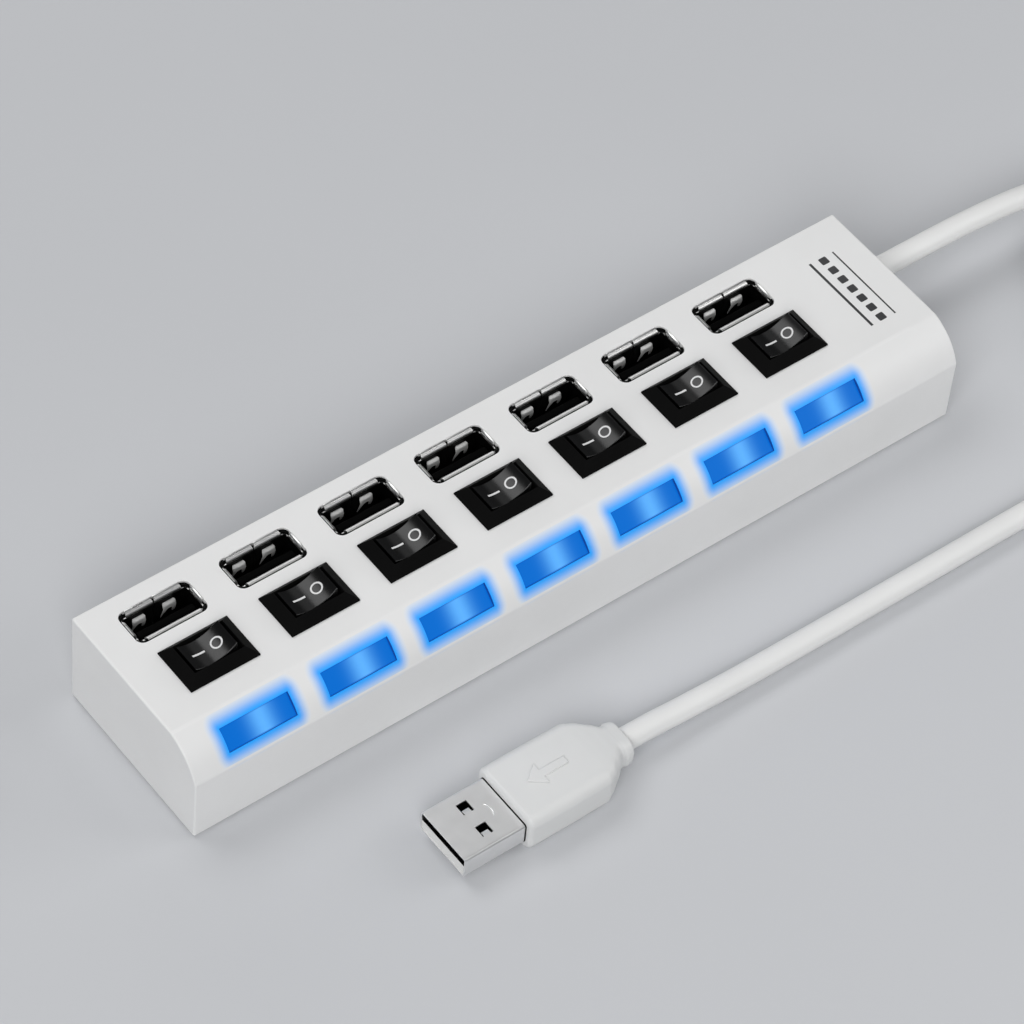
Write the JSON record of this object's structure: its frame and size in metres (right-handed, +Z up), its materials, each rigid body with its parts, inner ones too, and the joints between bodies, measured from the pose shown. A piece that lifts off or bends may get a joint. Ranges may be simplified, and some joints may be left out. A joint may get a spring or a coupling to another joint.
{
  "type": "usb hub",
  "caption": "Long desktop USB hub: a row of upward ports, a rocker switch and a lit window for each, white case with a sloping front strip, captive cable with a coil and a plug.",
  "frame": {"origin": "middle of the hub's footprint, on the table its feet stand on (cable, coil and plug not counted)", "axes": "+X along the hub to the end where the cable leaves, +Y to the long side nearest the ports, +Z up out of the ports"},
  "size_m": [0.25, 0.0688, 0.0239],
  "materials": {
    "case": "fine satin white moulding",
    "switch": "satin black moulding",
    "steel": "nickel-plated pressed steel",
    "contact_block": "matte black",
    "lens": "translucent blue, lit from behind",
    "led": "clear resin",
    "board": "solder-masked glass-fibre laminate",
    "chip": "black epoxy",
    "rubber": "soft matte",
    "cable": "satin white vinyl",
    "tie": "soft white",
    "insert": "white moulding"
  },
  "bodies": {
    "hub": {"bottom_cover": "case", "cable_bush": "cable", "cable_coil": "cable", "cable_from_hub": "cable", "cable_tie": "tie", "cable_to_plug": "cable", "case_screw_1": "steel", "case_screw_2": "steel", "circuit_board": "board", "hub_chip": "chip", "led_1": "led", "led_2": "led", "led_3": "led", "led_4": "led", "led_5": "led", "led_6": "led", "led_7": "led", "light_lens_1": "lens", "light_lens_2": "lens", "light_lens_3": "lens", "light_lens_4": "lens", "light_lens_5": "lens", "light_lens_6": "lens", "light_lens_7": "lens", "plug_overmould": "cable", "plug_shell": "steel", "plug_tongue": "insert", "rubber_foot_1": "rubber", "rubber_foot_2": "rubber", "rubber_foot_3": "rubber", "rubber_foot_4": "rubber", "switch_housing_1": "switch", "switch_housing_2": "switch", "switch_housing_3": "switch", "switch_housing_4": "switch", "switch_housing_5": "switch", "switch_housing_6": "switch", "switch_housing_7": "switch", "upper_case": "case", "usb_shell_1": "steel", "usb_shell_2": "steel", "usb_shell_3": "steel", "usb_shell_4": "steel", "usb_shell_5": "steel", "usb_shell_6": "steel", "usb_shell_7": "steel", "usb_tongue_1": "contact_block", "usb_tongue_2": "contact_block", "usb_tongue_3": "contact_block", "usb_tongue_4": "contact_block", "usb_tongue_5": "contact_block", "usb_tongue_6": "contact_block", "usb_tongue_7": "contact_block"},
    "rocker_1": {"rocker_1": "switch"},
    "rocker_2": {"rocker_2": "switch"},
    "rocker_3": {"rocker_3": "switch"},
    "rocker_4": {"rocker_4": "switch"},
    "rocker_5": {"rocker_5": "switch"},
    "rocker_6": {"rocker_6": "switch"},
    "rocker_7": {"rocker_7": "switch"}
  },
  "joints": [
    {"name": "rocker_1_tilt", "type": "hinge", "parent": "hub", "child": "rocker_1", "pos_m": [-0.0666, -0.0008, 0.0209], "axis": [0, 1, 0], "range_deg": [0, 19]},
    {"name": "rocker_2_tilt", "type": "hinge", "parent": "hub", "child": "rocker_2", "pos_m": [-0.0466, -0.0008, 0.0209], "axis": [0, 1, 0], "range_deg": [0, 19]},
    {"name": "rocker_3_tilt", "type": "hinge", "parent": "hub", "child": "rocker_3", "pos_m": [-0.0266, -0.0008, 0.0209], "axis": [0, 1, 0], "range_deg": [0, 19]},
    {"name": "rocker_4_tilt", "type": "hinge", "parent": "hub", "child": "rocker_4", "pos_m": [-0.0066, -0.0008, 0.0209], "axis": [0, 1, 0], "range_deg": [0, 19]},
    {"name": "rocker_5_tilt", "type": "hinge", "parent": "hub", "child": "rocker_5", "pos_m": [0.0134, -0.0008, 0.0209], "axis": [0, 1, 0], "range_deg": [0, 19]},
    {"name": "rocker_6_tilt", "type": "hinge", "parent": "hub", "child": "rocker_6", "pos_m": [0.0334, -0.0008, 0.0209], "axis": [0, 1, 0], "range_deg": [0, 19]},
    {"name": "rocker_7_tilt", "type": "hinge", "parent": "hub", "child": "rocker_7", "pos_m": [0.0534, -0.0008, 0.0209], "axis": [0, 1, 0], "range_deg": [0, 19]}
  ]
}
